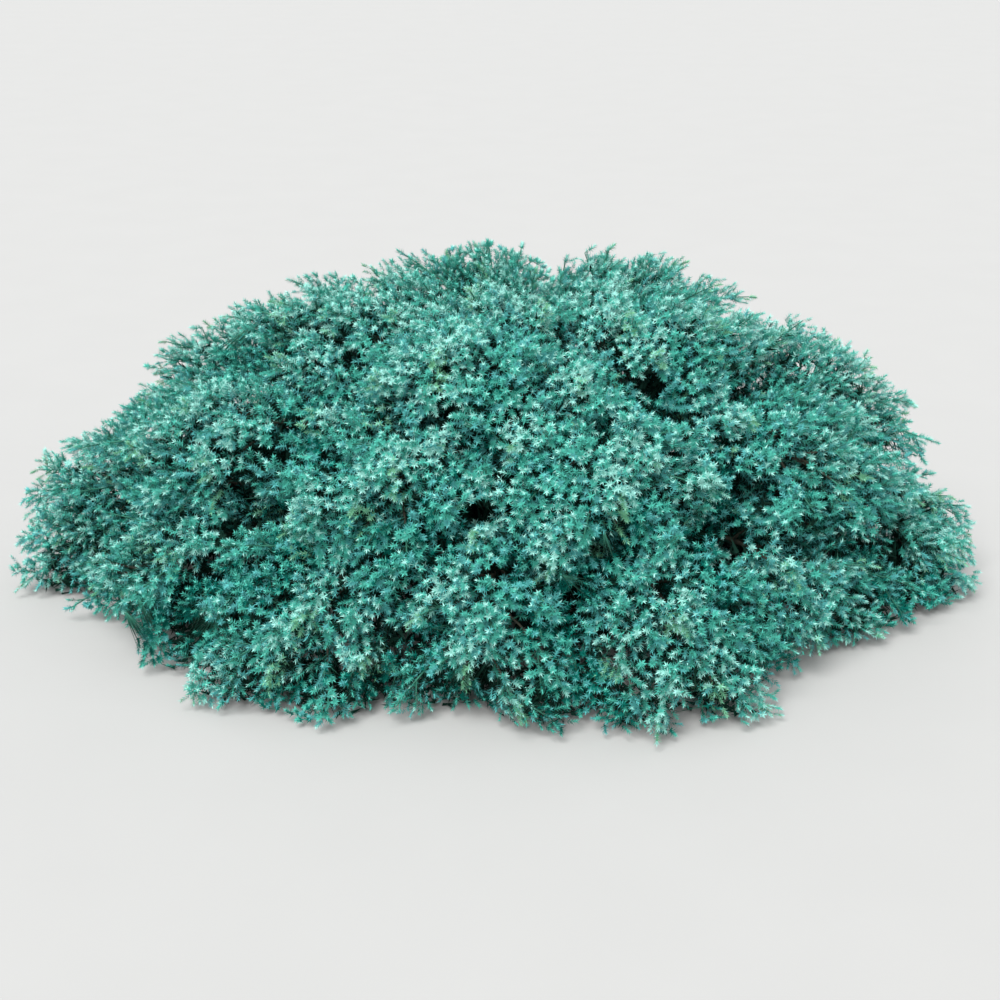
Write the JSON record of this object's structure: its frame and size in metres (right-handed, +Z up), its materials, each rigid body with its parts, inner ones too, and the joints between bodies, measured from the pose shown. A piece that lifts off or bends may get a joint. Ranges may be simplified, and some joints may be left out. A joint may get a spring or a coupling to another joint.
{
  "type": "blue star juniper shrub",
  "caption": "Low, wide-spreading evergreen shrub: a short flared trunk with tapering boughs, each carrying a dense plume of short blue-green needles with nodding tips.",
  "frame": {"origin": "middle of the flat cut under the trunk, at ground level", "axes": "+Z is up, -Y is the front of the shrub as pictured, and +X is its right"},
  "size_m": [1.1993, 0.9136, 0.4139],
  "materials": {
    "bark": "rough, fibrous bark",
    "skirt_needles": "matt blue-green needles",
    "flank_needles": "matt blue-green needles",
    "crest_needles": "matt blue-green needles"
  },
  "bodies": {
    "root": {"trunk": "bark", "bough_skirt_01": "bark", "bough_skirt_02": "bark", "bough_skirt_03": "bark", "bough_skirt_04": "bark", "bough_skirt_05": "bark", "bough_skirt_06": "bark", "bough_skirt_07": "bark", "bough_skirt_08": "bark", "bough_skirt_09": "bark", "bough_skirt_10": "bark", "bough_skirt_11": "bark", "bough_skirt_12": "bark", "bough_flank_01": "bark", "bough_flank_02": "bark", "bough_flank_03": "bark", "bough_flank_04": "bark", "bough_flank_05": "bark", "bough_flank_06": "bark", "bough_flank_07": "bark", "bough_flank_08": "bark", "bough_flank_09": "bark", "bough_crest_01": "bark", "bough_crest_02": "bark", "bough_crest_03": "bark", "bough_crest_04": "bark", "bough_crest_05": "bark", "plume_skirt_01": "skirt_needles", "plume_skirt_02": "skirt_needles", "plume_skirt_03": "skirt_needles", "plume_skirt_04": "skirt_needles", "plume_skirt_05": "skirt_needles", "plume_skirt_06": "skirt_needles", "plume_skirt_07": "skirt_needles", "plume_skirt_08": "skirt_needles", "plume_skirt_09": "skirt_needles", "plume_skirt_10": "skirt_needles", "plume_skirt_11": "skirt_needles", "plume_skirt_12": "skirt_needles", "plume_flank_01": "flank_needles", "plume_flank_02": "flank_needles", "plume_flank_03": "flank_needles", "plume_flank_04": "flank_needles", "plume_flank_05": "flank_needles", "plume_flank_06": "flank_needles", "plume_flank_07": "flank_needles", "plume_flank_08": "flank_needles", "plume_flank_09": "flank_needles", "plume_crest_01": "crest_needles", "plume_crest_02": "crest_needles", "plume_crest_03": "crest_needles", "plume_crest_04": "crest_needles", "plume_crest_05": "crest_needles"}
  },
  "joints": []
}
